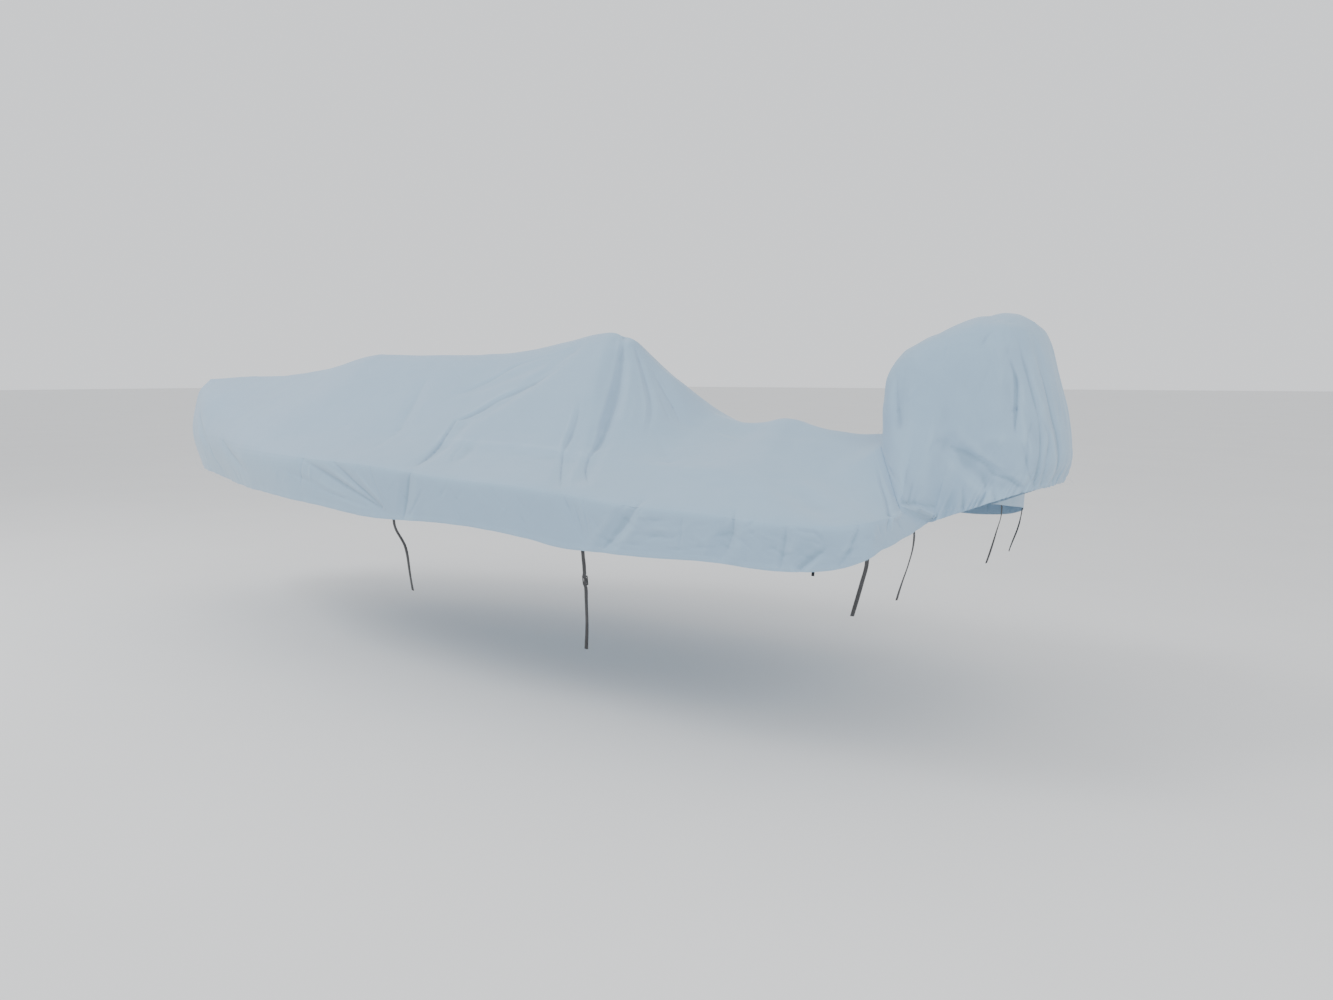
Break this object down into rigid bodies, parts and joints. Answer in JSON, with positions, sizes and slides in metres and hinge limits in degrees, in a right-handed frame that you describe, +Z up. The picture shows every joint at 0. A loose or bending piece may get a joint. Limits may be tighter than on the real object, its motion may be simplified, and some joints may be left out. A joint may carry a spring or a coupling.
{
  "type": "boat cover",
  "caption": "Fitted polyester cover lying over a bass boat and its outboard, with skirt, sewn-on motor hood and webbing tie-downs; hollow and open below.",
  "frame": {"origin": "on the underside of the cloth, at the peak over the windscreen, where the cover rests on the boat", "axes": "+X aft along the boat, +Y to starboard, +Z up"},
  "size_m": [6.3543, 2.2993, 1.4923],
  "materials": {
    "cloth": "light blue-grey coated polyester, plain weave, matt with a faint sheen",
    "webbing": "black woven polypropylene webbing",
    "buckle_plastic": "black moulded plastic, lightly grained"
  },
  "bodies": {
    "root": {"cover_body": "cloth", "motor_hood": "cloth", "strap_bow_port": "webbing", "strap_bow_starboard": "webbing", "strap_mid_port": "webbing", "strap_mid_starboard": "webbing", "strap_stern_port": "webbing", "strap_stern_starboard": "webbing", "strap_transom_port": "webbing", "strap_transom_starboard": "webbing", "buckle_mid_port": "buckle_plastic", "buckle_mid_starboard": "buckle_plastic"}
  },
  "joints": []
}
